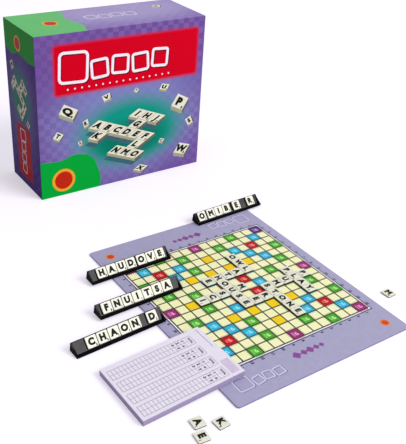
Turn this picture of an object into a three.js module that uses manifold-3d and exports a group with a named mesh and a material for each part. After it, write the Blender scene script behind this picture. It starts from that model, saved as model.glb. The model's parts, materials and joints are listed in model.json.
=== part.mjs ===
// A travel word tile game, set out for play: the card box stands on its long side, and before it
// lie the board, four racks, the letter tiles and the score pad.
// Millimetres, +Z up, the table at Z = 0. X runs across the board and Y runs up it, to the box.

import * as THREE from "three";
import { mergeVertices } from "three/addons/utils/BufferGeometryUtils.js";
import Module from "manifold-3d";

const wasm = await Module();
wasm.setup();

// Clearances
const seat = 0.3; // where one piece rests on another
const paperGap = 0.2; // between the glued layers of the score pad
const squareClear = 0.6; // between the tiles on neighbouring squares
const boxFit = 0.6; // all round, between the tray and the lid that slides over it
const overrun = 1; // how far a cutter passes the face that it leaves by
const seam = 0.02; // how far two joined solids reach into each other

// Board: a square grid with narrow margins at its sides and wide ones at its ends
const cell = 12;
const squaresPerSide = 15;
const sideMargin = 14.3;
const endMargin = 42.8;
const boardThick = 2;
const boardCorner = 3;
const boardEdge = 0.25;

// Letter tile: a thin moulded square with clipped corners and eased edges
const tileSide = cell - squareClear;
const tileThick = 2;
const tileCorner = 0.7;
const tileEase = 0.3;

// Rack: a scooped section with a lip, closed by a cheek at each end and cored out below
const tilesPerRack = 7;
const spareTiles = 1;
const seatAngle = THREE.MathUtils.degToRad(48);
const ledgeDepth = 3.6;
const ledgeHeight = 1.5;
const lipHeight = 2.8;
const lipThick = 1.3;
const lipRound = 0.4;
const lipChamfer = 0.7;
const ridgeWidth = 1;
const ridgeRise = 0.5;
const backRun = 1.8;
const cheekThick = 1.4;
const cheekStand = 1.2;
const rackWall = 1.3;
const ribThick = 1.2;
const ribCount = 4;

// Box: a full-depth lid over a tray, both of wrapped card
const lidWidth = 224;
const lidHeight = 198;
const lidDepth = 85;
const cardThick = 1.5;
const boxCorner = 0.8;
const boxEdge = 0.5;

// Score pad: a backing card, a glued block of sheets and the loose top leaf
const padLength = 103;
const padWidth = 70;
const backingThick = 1;
const blockThick = 4.6;
const leafThick = 0.3;

// Places on the table, as shares of a grid square, from the middle of the grid
const boxPlaceShares = [-8.17, 22.17];
const rackPlaceShares = [[2.63, 10.2], [-10.65, 6.5], [-12.25, 2.05], [-15.75, -0.9]];
const padPlaceShares = [-15, -9.05];
const looseTileShares = [[10.7, -6.83], [-11.77, -10.69], [-10.42, -11.52], [-12.23, -11.85]];

// How far each loose piece is turned from the board's own direction, in degrees
const rackTurns = [2.5, 1.5, 2, 2];
const padTurn = 1.5;
const looseTileTurns = [2, -3, 3, -6];

// Tiles on each rack, as runs that touch: the gap before a run as a share of a tile, and its count
const rackRunShares = [
  [[0.12, 1], [0.14, 3], [0.35, 1], [0.9, 1]],
  [[0.58, 4], [0.12, 3]],
  [[0.25, 7]],
  [[0.97, 5], [0.61, 1]],
];

// Tiles on the board, word by word, counted in whole squares: first column and row, step across
// and down, number of tiles
const boardWordShares = [
  [9, 3, 0, 1, 3],
  [5, 5, 1, 0, 4],
  [6, 6, 0, 1, 4],
  [3, 7, 1, 0, 3],
  [7, 7, 1, 0, 1],
  [7, 9, 1, 0, 2],
  [9, 8, 0, 1, 5],
  [10, 8, 1, 0, 4],
  [12, 7, 0, 1, 1],
  [12, 9, 0, 1, 2],
];

// Finishes
const finish = (color, roughness, metalness = 0) =>
  new THREE.MeshStandardMaterial({ color, roughness, metalness });
const finishes = {
  lidPaper: finish(0x7b5ba6, 0.35),
  trayPaper: finish(0xe9e6ee, 0.7),
  boardPrint: finish(0xb1aad3, 0.5),
  rackPlastic: finish(0x17161a, 0.2),
  tilePlastic: finish(0xf3f3e2, 0.35),
  greyCard: finish(0xb8b2a8, 0.9),
  padPaper: finish(0xe6dff5, 0.85),
};

// A geometry as a solid that can be joined and cut
function toSolid(geometry) {
  const bare = geometry.clone();
  bare.deleteAttribute("normal");
  bare.deleteAttribute("uv");
  const closed = mergeVertices(bare, seam / 100);
  return new wasm.Manifold(
    new wasm.Mesh({
      numProp: 3,
      vertProperties: new Float32Array(closed.attributes.position.array),
      triVerts: new Uint32Array(closed.index.array),
    }),
  );
}

function toGeometry(solid) {
  const { vertProperties, triVerts } = solid.getMesh();
  const geometry = new THREE.BufferGeometry();
  geometry.setAttribute("position", new THREE.BufferAttribute(vertProperties, 3));
  geometry.setIndex(new THREE.BufferAttribute(triVerts, 1));
  geometry.computeVertexNormals();
  return geometry;
}

function piece(name, geometry, material) {
  const mesh = new THREE.Mesh(geometry, material);
  mesh.name = name;
  return mesh;
}

const numbered = (stem, index) => `${stem}_${String(index + 1).padStart(2, "0")}`;

// A rectangle with rounded corners, its lower left corner at (x, y)
function roundedRectangle(x, y, width, height, radius) {
  const shape = new THREE.Shape();
  shape.moveTo(x + radius, y);
  shape.lineTo(x + width - radius, y);
  shape.quadraticCurveTo(x + width, y, x + width, y + radius);
  shape.lineTo(x + width, y + height - radius);
  shape.quadraticCurveTo(x + width, y + height, x + width - radius, y + height);
  shape.lineTo(x + radius, y + height);
  shape.quadraticCurveTo(x, y + height, x, y + height - radius);
  shape.lineTo(x, y + radius);
  shape.quadraticCurveTo(x, y, x + radius, y);
  return shape;
}

// An outline raised from Z = 0 to its thickness, with eased top and bottom edges
function slab(outline, thick, ease = 0, curveSegments = 3) {
  const geometry = new THREE.ExtrudeGeometry(outline, {
    depth: thick - 2 * ease,
    bevelEnabled: ease > 0,
    bevelThickness: ease,
    bevelSize: ease,
    bevelOffset: -ease,
    bevelSegments: 1,
    curveSegments,
  });
  return geometry.translate(0, 0, ease);
}

// An outline drawn in (Y, Z) and run along X from x for a length
const alongX = new THREE.Matrix4().makeBasis(
  new THREE.Vector3(0, 1, 0),
  new THREE.Vector3(0, 0, 1),
  new THREE.Vector3(1, 0, 0),
);
function bar(outline, x, length, curveSegments = 4) {
  return slab(outline, length, 0, curveSegments).applyMatrix4(alongX).translate(x, 0, 0);
}

// Board
const boardWidth = squaresPerSide * cell + 2 * sideMargin;
const boardLength = squaresPerSide * cell + 2 * endMargin;
const boardOutline = roundedRectangle(
  -boardWidth / 2, -boardLength / 2, boardWidth, boardLength, boardCorner,
);
const board = piece("board", slab(boardOutline, boardThick, boardEdge), finishes.boardPrint);
const boardTop = boardThick + seat;

// Letter tile, its lower left back corner at the origin and its face towards +Z
function tileGeometry(reach = 0) {
  const side = tileSide + 2 * reach;
  return slab(roundedRectangle(-reach, 0, side, tileSide, tileCorner), tileThick, tileEase, 1);
}

const centredTile = tileGeometry().translate(-tileSide / 2, -tileSide / 2, 0);

// Tiles that stand side by side on a rack and touch, as one row
function tileRow(count) {
  const row = Array.from({ length: count }, (_, i) =>
    toSolid(tileGeometry(count > 1 ? seam : 0).translate(i * tileSide, 0, 0)),
  );
  return toGeometry(row.reduce((joined, tile) => joined.add(tile)));
}

// The grid square in a column and a row, counted from the far left corner
function squareCentre(column, row) {
  const middle = (squaresPerSide - 1) / 2;
  return [(column - middle) * cell, (middle - row) * cell];
}

const boardTiles = new THREE.Group();
for (const [column, row, across, down, count] of boardWordShares) {
  for (let i = 0; i < count; i += 1) {
    const [x, y] = squareCentre(column + i * across, row + i * down);
    const name = numbered("board_tile", boardTiles.children.length);
    const tile = piece(name, centredTile.clone(), finishes.tilePlastic);
    tile.position.set(x, y, boardTop);
    boardTiles.add(tile);
  }
}

const looseTiles = new THREE.Group();
looseTileShares.forEach(([x, y], i) => {
  const tile = piece(numbered("loose_tile", i), centredTile.clone(), finishes.tilePlastic);
  tile.position.set(x * cell, y * cell, 0);
  tile.rotation.z = THREE.MathUtils.degToRad(looseTileTurns[i]);
  looseTiles.add(tile);
});

// Rack section: the tiles lean on a slope as long as a tile, from the ledge up to the ridge
const slopeRun = tileSide * Math.cos(seatAngle);
const slopeRise = tileSide * Math.sin(seatAngle);
const ridgeFront = ledgeDepth + slopeRun;
const ridgeBack = ridgeFront + ridgeWidth;
const shoulder = ledgeHeight + slopeRise;
const rackDepth = ridgeBack + backRun;
const channel = (tilesPerRack + spareTiles) * tileSide;
const rackLength = channel + 2 * cheekThick;

// The ridge and the back are the same on the section and on the cheeks
function drawBack(shape) {
  shape.moveTo(0, 0);
  shape.lineTo(rackDepth, 0);
  shape.lineTo(ridgeBack, shoulder);
  shape.quadraticCurveTo(ridgeBack - ridgeWidth / 2, shoulder + ridgeRise, ridgeFront, shoulder);
}

function rackSection() {
  const shape = new THREE.Shape();
  drawBack(shape);
  shape.lineTo(ledgeDepth, ledgeHeight);
  shape.lineTo(lipThick + lipRound, ledgeHeight);
  shape.lineTo(lipThick, lipHeight - lipRound);
  shape.quadraticCurveTo(lipThick, lipHeight, lipThick - lipRound, lipHeight);
  shape.lineTo(lipChamfer, lipHeight);
  shape.lineTo(0, lipHeight - lipChamfer);
  return shape;
}

// A cheek's front edge hangs in a curve from the ridge to the lip, proud of the slope
function cheekSection() {
  const shape = new THREE.Shape();
  drawBack(shape);
  const middle = (lipThick + ridgeFront) / 2;
  const slopeThere = ledgeHeight + (middle - ledgeDepth) * Math.tan(seatAngle);
  shape.quadraticCurveTo(middle, slopeThere + cheekStand, lipThick, lipHeight);
  shape.lineTo(lipChamfer, lipHeight);
  shape.lineTo(0, lipHeight - lipChamfer);
  return shape;
}

// The core under the slope leaves a wall below the tile seat and below the back
function coreSection() {
  const wallAcross = rackWall / Math.sin(seatAngle);
  const backSlope = backRun / shoulder;
  const apexHeight =
    ((rackDepth - rackWall - ledgeDepth - wallAcross) + ledgeHeight / Math.tan(seatAngle)) /
    (1 / Math.tan(seatAngle) + backSlope);
  const slopeFoot = ledgeDepth + wallAcross - ledgeHeight / Math.tan(seatAngle);
  const frontAt = (z) => slopeFoot + z / Math.tan(seatAngle);
  const backAt = (z) => rackDepth - rackWall - z * backSlope;
  const blunt = apexHeight - rackWall;
  const shape = new THREE.Shape();
  shape.moveTo(frontAt(0) + rackWall, -overrun);
  shape.lineTo(backAt(0), -overrun);
  shape.lineTo(backAt(0), 0);
  shape.lineTo(backAt(blunt), blunt);
  shape.lineTo(frontAt(blunt), blunt);
  shape.lineTo(frontAt(rackWall), rackWall);
  shape.lineTo(frontAt(0) + rackWall, 0);
  return shape;
}

function rackGeometry() {
  const inside = rackLength - 2 * cheekThick;
  const bay = (inside - ribCount * ribThick) / (ribCount + 1);
  let body = toSolid(bar(rackSection(), cheekThick / 2, rackLength - cheekThick));
  body = body.add(toSolid(bar(cheekSection(), 0, cheekThick)));
  body = body.add(toSolid(bar(cheekSection(), rackLength - cheekThick, cheekThick)));
  for (let i = 0; i <= ribCount; i += 1) {
    const start = cheekThick + i * (bay + ribThick);
    body = body.subtract(toSolid(bar(coreSection(), start, bay)));
  }
  return toGeometry(body);
}

// Lays a group on the table with its left end down and its underside on the board's left edge
const boardLeft = -boardWidth / 2;
function leanOnBoard(group, x, y, turn) {
  const lean = Math.asin((boardThick + seat) / (boardLeft - x));
  group.position.set(x, y, 0);
  group.rotation.set(0, -lean, THREE.MathUtils.degToRad(turn), "ZYX");
}

const rackBody = rackGeometry();
const racks = new THREE.Group();
rackPlaceShares.forEach(([across, up], i) => {
  const rackGroup = new THREE.Group();
  const name = numbered("rack", i);
  rackGroup.add(piece(name, rackBody.clone(), finishes.rackPlastic));
  let x = cheekThick;
  rackRunShares[i].forEach(([gapShare, count], run) => {
    x += gapShare * tileSide;
    const row = piece(numbered(`${name}_tiles`, run), tileRow(count), finishes.tilePlastic);
    const seatGroup = new THREE.Group();
    seatGroup.position.set(x, ledgeDepth, ledgeHeight);
    seatGroup.rotation.x = seatAngle;
    row.position.set(0, seat, seat);
    seatGroup.add(row);
    rackGroup.add(seatGroup);
    x += count * tileSide;
  });
  const onBoard = across * cell + rackLength / 2 > boardLeft;
  if (onBoard) {
    rackGroup.position.set(across * cell, up * cell, boardTop);
    rackGroup.rotation.z = THREE.MathUtils.degToRad(rackTurns[i]);
  } else {
    leanOnBoard(rackGroup, across * cell, up * cell, rackTurns[i]);
  }
  racks.add(rackGroup);
});

// Score pad, its lower left corner at the group's origin and its glued edge at the right
const pad = new THREE.Group();
function padLayer(name, bottom, thick, material) {
  const layer = piece(name, new THREE.BoxGeometry(padLength, padWidth, thick), material);
  layer.position.set(padLength / 2, padWidth / 2, bottom + thick / 2);
  pad.add(layer);
  return bottom + thick + paperGap;
}
const blockBottom = padLayer("pad_backing", 0, backingThick, finishes.greyCard);
const leafBottom = padLayer("pad_block", blockBottom, blockThick, finishes.padPaper);
padLayer("pad_top_leaf", leafBottom, leafThick, finishes.padPaper);
leanOnBoard(pad, padPlaceShares[0] * cell, padPlaceShares[1] * cell, padTurn);

// One half of the box: a panel drawn in (X, Z) with walls that run back along Y
const uprightPanel = new THREE.Matrix4().makeBasis(
  new THREE.Vector3(1, 0, 0),
  new THREE.Vector3(0, 0, 1),
  new THREE.Vector3(0, -1, 0),
);
function cardTray(width, height, depth) {
  const outer = slab(roundedRectangle(0, 0, width, height, boxCorner), depth, boxEdge);
  const inner = slab(
    roundedRectangle(cardThick, cardThick, width - 2 * cardThick, height - 2 * cardThick, boxCorner),
    depth - cardThick + overrun,
  ).translate(0, 0, -overrun);
  return toGeometry(toSolid(outer).subtract(toSolid(inner))).applyMatrix4(uprightPanel);
}

// The lid's panel is at the front and its mouth at the back, where the tray's panel closes it
const box = new THREE.Group();
const lid = piece("box_lid", cardTray(lidWidth, lidHeight, lidDepth), finishes.lidPaper);
lid.position.set(0, lidDepth, 0);
const inset = cardThick + boxFit;
const trayDepth = lidDepth - inset;
const tray = piece(
  "box_tray",
  cardTray(lidWidth - 2 * inset, lidHeight - 2 * inset, trayDepth),
  finishes.trayPaper,
);
tray.rotation.z = Math.PI;
tray.position.set(lidWidth - inset, inset, inset);
box.add(lid, tray);
box.position.set(boxPlaceShares[0] * cell, boxPlaceShares[1] * cell, 0);

// The whole set, moved so that its origin is under the middle of its outline
const layout = new THREE.Group();
layout.add(box, board, boardTiles, looseTiles, racks, pad);
layout.updateMatrixWorld(true);
const outline = new THREE.Box3().setFromObject(layout, true);
const middle = outline.getCenter(new THREE.Vector3());
layout.position.set(-middle.x, -middle.y, -outline.min.z);

const group = new THREE.Group();
group.name = "travel_word_tile_game";
group.add(layout);

export default group;
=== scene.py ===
# %% [markdown]
# # A travel word tile game, laid out for play
# A card box stands on its long side. Before it lie the game board, four black racks of letter
# tiles, a few loose tiles and a score pad. The CAD model gives each of them its place and size.
# This script dresses that model: finer edges, printed patterns, letters and real materials.

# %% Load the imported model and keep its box
import json
import math

import bmesh
import bpy
from mathutils import Matrix, Vector


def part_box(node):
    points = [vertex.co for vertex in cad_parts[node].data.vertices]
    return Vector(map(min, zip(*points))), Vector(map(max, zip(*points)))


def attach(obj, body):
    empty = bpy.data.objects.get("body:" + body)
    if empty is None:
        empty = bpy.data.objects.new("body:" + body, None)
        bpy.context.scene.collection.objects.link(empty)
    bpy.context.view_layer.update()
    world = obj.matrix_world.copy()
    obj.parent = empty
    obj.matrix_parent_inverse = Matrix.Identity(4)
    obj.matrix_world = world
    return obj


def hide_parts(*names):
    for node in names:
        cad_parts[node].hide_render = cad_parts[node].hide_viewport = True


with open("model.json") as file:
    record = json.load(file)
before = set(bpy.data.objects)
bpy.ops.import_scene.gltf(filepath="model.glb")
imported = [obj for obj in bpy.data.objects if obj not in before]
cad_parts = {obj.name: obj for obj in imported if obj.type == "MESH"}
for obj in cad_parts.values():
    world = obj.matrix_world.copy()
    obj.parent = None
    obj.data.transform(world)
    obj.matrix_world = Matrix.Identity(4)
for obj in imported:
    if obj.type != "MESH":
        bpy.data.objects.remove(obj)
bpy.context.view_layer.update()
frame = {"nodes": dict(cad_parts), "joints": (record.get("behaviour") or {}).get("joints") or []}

MM = 0.001

# %% [markdown]
# ## Camera
# The photograph looks down on the board from its near left, about 30 degrees below the horizon.
# The grid on the board gave the place and lens, because its squares are even. One lens has to
# serve for the whole set, so the camera was fitted to the board and the box together.

# %% Camera
CAMERA_FROM_GRID = Vector((-402.48, -467.28, 439.21))
CAMERA_TURN, CAMERA_PITCH, CAMERA_ROLL = -36.68, 30.51, 4.02
LENS_LONG, SENSOR_WIDE, NEAREST_SEEN = 59.98, 36, 0.02
board_low, board_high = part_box("board")
grid_middle = (board_low + board_high) / 2
grid_middle.z = 0

lens = bpy.data.cameras.new("camera")
lens.lens, lens.sensor_width, lens.sensor_fit = LENS_LONG, SENSOR_WIDE, "AUTO"
lens.clip_start = NEAREST_SEEN
camera = bpy.data.objects.new("camera", lens)
bpy.context.scene.collection.objects.link(camera)
camera.matrix_world = (
    Matrix.Translation(grid_middle + CAMERA_FROM_GRID * MM)
    @ Matrix.Rotation(math.radians(CAMERA_TURN), 4, "Z")
    @ Matrix.Rotation(math.radians(90 - CAMERA_PITCH), 4, "X")
    @ Matrix.Rotation(math.radians(CAMERA_ROLL), 4, "Z")
)
bpy.context.scene.camera = camera
bpy.context.scene.view_settings.view_transform = "Standard"
print("camera at", [round(v, 3) for v in camera.matrix_world.translation])

# %% [markdown]
# ## Colours and nodes
# Print colours are named as a designer names them, in sRGB hex. Shaders work in linear light, so
# one function turns hex to linear. A second one adds any shader node with its settings and links.

# %% Two helpers for every material
def linear(hex_colour):
    """An sRGB hex colour as linear RGBA."""
    parts = [int(hex_colour[i : i + 2], 16) / 255 for i in (1, 3, 5)]
    return [v / 12.92 if v <= 0.04045 else ((v + 0.055) / 1.055) ** 2.4 for v in parts] + [1.0]


def add_node(tree, kind, inputs=None, out=0, **settings):
    """Adds one node, sets it, links or fills its inputs, and gives back one output."""
    node = tree.nodes.new("ShaderNode" + kind)
    for name, value in settings.items():
        setattr(node, name, value)
    for socket, value in (inputs or {}).items():
        if isinstance(value, bpy.types.NodeSocket):
            tree.links.new(value, node.inputs[socket])
        else:
            node.inputs[socket].default_value = value
    return node.outputs[out] if node.outputs else node


print("violet as linear light:", [round(v, 3) for v in linear("#7B5BA6")])

# %% [markdown]
# ## Table and light
# A product shot like this stands on white paper under large soft lamps. The floor is a pale matt
# sheet that adds a little light of its own where the camera or a gloss sees it, so it reads as
# white and still takes the shadows. It lies a hair below the pieces, because two surfaces in one
# plane would show through each other. The sky is white to look at, and dim where its light is
# gathered, so that colours render as they are written. One soft lamp models the shapes.

# %% White paper floor
FLOOR_HALF, FLOOR_DROP, FLOOR_LIFT = 6, 0.02, 0.37
floor_mesh = bmesh.new()
bmesh.ops.create_grid(floor_mesh, x_segments=1, y_segments=1, size=FLOOR_HALF)
bmesh.ops.translate(floor_mesh, verts=floor_mesh.verts, vec=(0, 0, -FLOOR_DROP * MM))
floor_data = bpy.data.meshes.new("floor")
floor_mesh.to_mesh(floor_data)
floor_mesh.free()
floor = bpy.data.objects.new("floor", floor_data)
bpy.context.scene.collection.objects.link(floor)

# Uncoated background paper: pale, a touch violet and without a highlight
paper_floor = bpy.data.materials.new("white_background_paper")
paper_floor.use_nodes = True
tree = paper_floor.node_tree
sheet = tree.nodes["Principled BSDF"]
sheet.inputs["Base Color"].default_value = linear("#E9E2F4")
sheet.inputs["Roughness"].default_value = 0.95
sheet.inputs["Specular IOR Level"].default_value = 0.1


def seen_directly(tree):
    """1 where the camera, a mirror or clear glass looks, and 0 where light is gathered."""
    ray = add_node(tree, "LightPath").node.outputs
    seen = ray["Is Camera Ray"]
    for other in ("Is Glossy Ray", "Is Transmission Ray"):
        seen = add_node(tree, "Math", {0: seen, 1: ray[other]}, operation="MAXIMUM")
    return seen


lift = add_node(tree, "Math", {0: seen_directly(tree), 1: FLOOR_LIFT}, operation="MULTIPLY")
glow_of_floor = add_node(tree, "Emission", {"Color": linear("#FFFFFF"), "Strength": lift})
both = add_node(tree, "AddShader", {0: sheet.outputs[0], 1: glow_of_floor})
tree.links.new(both, tree.nodes["Material Output"].inputs["Surface"])
floor_data.materials.append(paper_floor)
print("floor is", 2 * FLOOR_HALF, "m wide")

# %% Sky and lamp
SKY_LIGHT = 0.5
LAMP_FROM, LAMP_AWAY, LAMP_SIDE, LAMP_WATTS = Vector((0.42, -0.63, 0.66)), 6.0, 3.2, 225.0
world = bpy.data.worlds.new("studio")
bpy.context.scene.world = world
world.use_nodes = True
tree = world.node_tree
dim = tree.nodes["Background"]
dim.inputs["Strength"].default_value = SKY_LIGHT
dim.inputs["Color"].default_value = linear("#FFFFFF")
white = add_node(tree, "Background", {"Color": linear("#FFFFFF"), "Strength": 1.0})
sky = add_node(tree, "MixShader", {0: seen_directly(tree), 1: dim.outputs[0], 2: white})
tree.links.new(sky, tree.nodes["World Output"].inputs["Surface"])

softbox = bpy.data.lights.new("softbox", "AREA")
softbox.shape, softbox.size, softbox.energy = "SQUARE", LAMP_SIDE, LAMP_WATTS
lamp = bpy.data.objects.new("softbox", softbox)
bpy.context.scene.collection.objects.link(lamp)
lamp.location = LAMP_FROM.normalized() * LAMP_AWAY
lamp.rotation_euler = LAMP_FROM.to_track_quat("Z", "Y").to_euler()
print("lamp", LAMP_WATTS, "W at", [round(v, 2) for v in lamp.location])

# %% [markdown]
# ## What a surface is made of
# No real surface is one flat colour. A material here is a ground colour with other inks laid
# over it by masks, a roughness that changes from patch to patch, and a low relief. Only the
# patterns differ, so three functions serve them all. They read Object coordinates, and each
# scale is given as a size in millimetres.

# %% Start, pattern and finish of a material
def start_material(name, colour, roughness, ior=1.5, specular=0.5):
    """A material with its shader's own values set, and the Object coordinates it reads."""
    material = bpy.data.materials.new(name)
    material.use_nodes = True
    tree = material.node_tree
    shader = tree.nodes["Principled BSDF"]
    shader.inputs["Base Color"].default_value = linear(colour)
    shader.inputs["Roughness"].default_value = roughness
    shader.inputs["IOR"].default_value = ior
    shader.inputs["Specular IOR Level"].default_value = specular
    return material, tree, shader, add_node(tree, "TexCoord", out="Object")


def grain(tree, place, size, low, high, detail=2):
    """A cloudy pattern with patches of size mm, as a number between low and high."""
    cloud = add_node(
        tree, "TexNoise", {"Vector": place, "Scale": 1 / (size * MM), "Detail": detail}
    )
    return add_node(
        tree, "MapRange", {0: cloud, 1: 0.3, 2: 0.7, 3: low, 4: high}, clamp=True
    )


def dress(tree, shader, ground, layers, gloss=None, relief=None, depth=0):
    """Lays inks on a ground colour by masks, and links roughness and a relief depth mm deep."""
    colour = linear(ground)
    for mask, ink in layers:
        colour = add_node(
            tree, "Mix", {0: mask, 6: colour, 7: linear(ink)}, out=2, data_type="RGBA"
        )
    tree.links.new(colour, shader.inputs["Base Color"])
    if gloss is not None:
        tree.links.new(gloss, shader.inputs["Roughness"])
    if relief is not None:
        bump = add_node(tree, "Bump", {"Height": relief, "Strength": 1, "Distance": depth * MM})
        tree.links.new(bump, shader.inputs["Normal"])


print("patches of 4 mm have a noise scale of", round(1 / (4 * MM)), "to the metre")

# %% [markdown]
# ## Moulded plastic
# The racks and tiles are injection-moulded polystyrene. It is hard, and its skin follows the
# mould: a slight orange peel, with waves of about a millimetre, and patches of some millimetres
# that fingers have dulled. A polished mould gives a gloss. An etched one, on a rack's walls, lip
# and ledge, throws back less of the white table, so they stay deep black. A tile's foot is
# painted olive black, a painted shade for the shadow along its base. Letters are foil,
# hot-stamped.

# %% Polystyrene for racks and tiles, and the foil of the letters
POLYSTYRENE_IOR, MOTTLE, FINGER_PATCH, ORANGE_PEEL, PEEL_DEPTH = 1.59, 4, 7, 0.9, 0.006
FOIL_SPECK, FOIL_PATCH = 0.8, 0.5


def moulded_polystyrene(name, colour, shade, roughness, specular):
    """Hard plastic with a faint mottle, an uneven gloss and a slight orange peel."""
    material, tree, shader, place = start_material(
        name, colour, roughness, POLYSTYRENE_IOR, specular
    )
    mottle = grain(tree, place, MOTTLE, 0, 1)
    gloss = grain(tree, place, FINGER_PATCH, roughness - 0.05, roughness + 0.08)
    peel = grain(tree, place, ORANGE_PEEL, 0, 1)
    dress(tree, shader, colour, [(mottle, shade)], gloss, peel, PEEL_DEPTH)
    return material


black_polystyrene, etched_polystyrene, ivory_polystyrene, foot_shade_polystyrene = (
    moulded_polystyrene(*row) for row in (
        # polished: deep black under a soft sheen of the sky
        ("black_polystyrene_moulded", "#040306", "#08070B", 0.15, 0.13),
        # etched: dull black with hardly a reflection
        ("black_polystyrene_etched", "#09070C", "#0F0C13", 0.5, 0.01),
        # ivory: a warm white with a soft light along its rounds
        ("ivory_polystyrene_moulded", "#F3F3E2", "#ECECD8", 0.32, 0.35),
        # painted shade: olive black and dull, a dark band at the foot that stands in for its
        # shadow
        ("ivory_polystyrene_painted_shade_foot", "#2C2E20", "#393B29", 0.5, 0.02),
    )
)
# Pigment foil pressed on plastic: matt black, and a little uneven where it took
letter_ink, tree, shader, place = start_material(
    "black_stamping_foil", "#14120F", 0.6, specular=0.1
)
foil_gloss = grain(tree, place, FOIL_PATCH, 0.45, 0.7)
dress(tree, shader, "#14120F", [(grain(tree, place, FOIL_SPECK, 0, 1), "#24211C")], foil_gloss)
print("plastics:", black_polystyrene.name, etched_polystyrene.name, ivory_polystyrene.name)

# %% [markdown]
# ## Printed card and paper
# The board and the box are grey board wrapped in offset-printed paper. The print is even, but
# paper fibres show in it as a faint cloud of 5 mm patches, and matt lacquer breaks its gloss.
# A fibre is a few hundredths of a millimetre wide, too fine to show, so fibres are drawn as
# clumps of 0.7 mm. One function makes any such colour. Paper without lacquer is rougher.

# %% Print colours
PRINT_CLOUD, CLOUD_DETAIL = 5, 5


def printed_paper(
    name, colour, shade, roughness=0.5, fibre=0.7, relief=0.012, specular=0.35
):
    """Ink on paper: a cloud of a second shade, and a gloss and a relief broken by fibres."""
    material, tree, shader, place = start_material(name, colour, roughness, specular=specular)
    cloud = grain(tree, place, PRINT_CLOUD, 0, 1, CLOUD_DETAIL)
    gloss = grain(tree, place, fibre * 3, roughness - 0.06, roughness + 0.08)
    fibres = grain(tree, place, fibre, 0, 1)
    dress(tree, shader, colour, [(cloud, shade)], gloss, fibres, relief)
    return material


# Offset inks under matt lacquer: calm, flat colours with a wide, soft highlight
board_lavender = printed_paper("board_lavender_print", "#AFACCE", "#A8A5C8")
square_cream = printed_paper("cream_square_print", "#FFFFCF", "#FDFCC5")
grid_line = printed_paper("grid_line_print", "#1F1706", "#291F0D")
frame_white = printed_paper("white_frame_print", "#FAF9FF", "#F2F0FA")
frame_violet = printed_paper("violet_frame_print", "#2A2245", "#342B52")
number_ink = printed_paper("violet_number_print", "#2E2656", "#393064")
# The wrap where it turns over the edge, rubbed and a deeper violet
board_wrap_edge = printed_paper("board_edge_wrap", "#8F87B6", "#837BAB")
# Lining paper has no lacquer: pale and dull
lining_paper = printed_paper("board_lining_paper", "#D9D5E2", "#CFCBD9", 0.75)
# A full layer of ink covers the fibres, so the bonus colours shine less and stay strong.
# Each has a pale tint of itself for its marks.
BONUS_INKS = {
    "M": ("magenta", "#AA3480", "#A02F78", "#FFA8E0", "#F49CD4"),
    "P": ("purple", "#5C2F87", "#552A7E", "#D4B8F8", "#CBAEF0"),
    "R": ("red", "#D60618", "#CB0515", "#FFA39C", "#F7988F"),
    "B": ("blue", "#30C0E6", "#2CB7DE", "#A2F0FF", "#97E8FA"),
    "G": ("green", "#52B434", "#4BAA2F", "#BEFF98", "#B2F58C"),
    "Y": ("yellow", "#FFDB20", "#FBD318", "#F3C814", "#EBC012"),
}
bonus_prints = {
    code: printed_paper(f"{name}_bonus_print", ink, shade, specular=0.12)
    for code, (name, ink, shade, *_) in BONUS_INKS.items()
}
mark_prints = {
    code: printed_paper(f"pale_{name}_mark_print", *pale)
    for code, (name, _, _, *pale) in BONUS_INKS.items()
}
print("bonus colours:", ", ".join(ink[0] for ink in BONUS_INKS.values()))

# %% [markdown]
# ## Pieces and their places
# Every new piece is a mesh that stands where its CAD node stands. Its object stays at the
# origin, so patterns on Object coordinates don't slide. Racks and pad are turned a little and
# lean on the board, so their own axes are taken from the CAD node's points. Smooth shading
# would bend the light on a flat face next to a small round, so a Weighted Normal modifier lets
# the large faces decide.

# %% Helpers that finish a piece and find its axes
def finish_piece(name, bm, materials, body, stands_for=(), smooth=35):
    """Makes a bmesh in metres a piece that rides on a body. smooth is an angle, or 0."""
    mesh = bpy.data.meshes.new(name)
    bm.to_mesh(mesh)
    bm.free()
    for material in materials:
        mesh.materials.append(material)
    piece = bpy.data.objects.new(name, mesh)
    bpy.context.scene.collection.objects.link(piece)
    if smooth:
        mesh.polygons.foreach_set("use_smooth", [True] * len(mesh.polygons))
        mesh.set_sharp_from_angle(angle=math.radians(smooth))
        even = piece.modifiers.new("even_normals", "WEIGHTED_NORMAL")
        even.keep_sharp = True
    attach(piece, body)
    if stands_for:
        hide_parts(*stands_for)
    print(name, len(mesh.polygons), "faces")


def own_axes(node, x_axis, z_axis):
    """A matrix in mm at a node's lowest corner along its own axes, and its size in mm."""
    z = Vector(z_axis).normalized()
    y = z.cross(Vector(x_axis)).normalized()
    axes = [y.cross(z), y, z]
    points = [v.co / MM for v in frame["nodes"][node].data.vertices]
    spans = [[p.dot(axis) for p in points] for axis in axes]
    corner = sum((axis * min(span) for axis, span in zip(axes, spans)), Vector())
    turned = Matrix(axes).transposed().to_4x4()
    size = Vector([max(span) - min(span) for span in spans])
    return Matrix.Translation(corner) @ turned, size


def set_down(bm, matrix):
    """Moves a bmesh from its own axes in mm to its place in metres."""
    bmesh.ops.transform(bm, matrix=Matrix.Scale(MM, 4) @ matrix, verts=bm.verts)


RACKS = ["rack_01", "rack_02", "rack_03", "rack_04"]
slides = {j["name"]: Vector(j["axis"]) for j in frame["joints"]}
rack_axes = {name: slides[f"tiles_{i + 1}_1_slide"] for i, name in enumerate(RACKS)}
for name, axis in rack_axes.items():
    print(name, "runs along", [round(v, 4) for v in axis])

# %% [markdown]
# ## Shapes from operators
# A shape starts as a block or a square, and bevels, insets and extrusions make it what it is.
# These few helpers say what those operators are for here: a block, an eased edge, a border.

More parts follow.
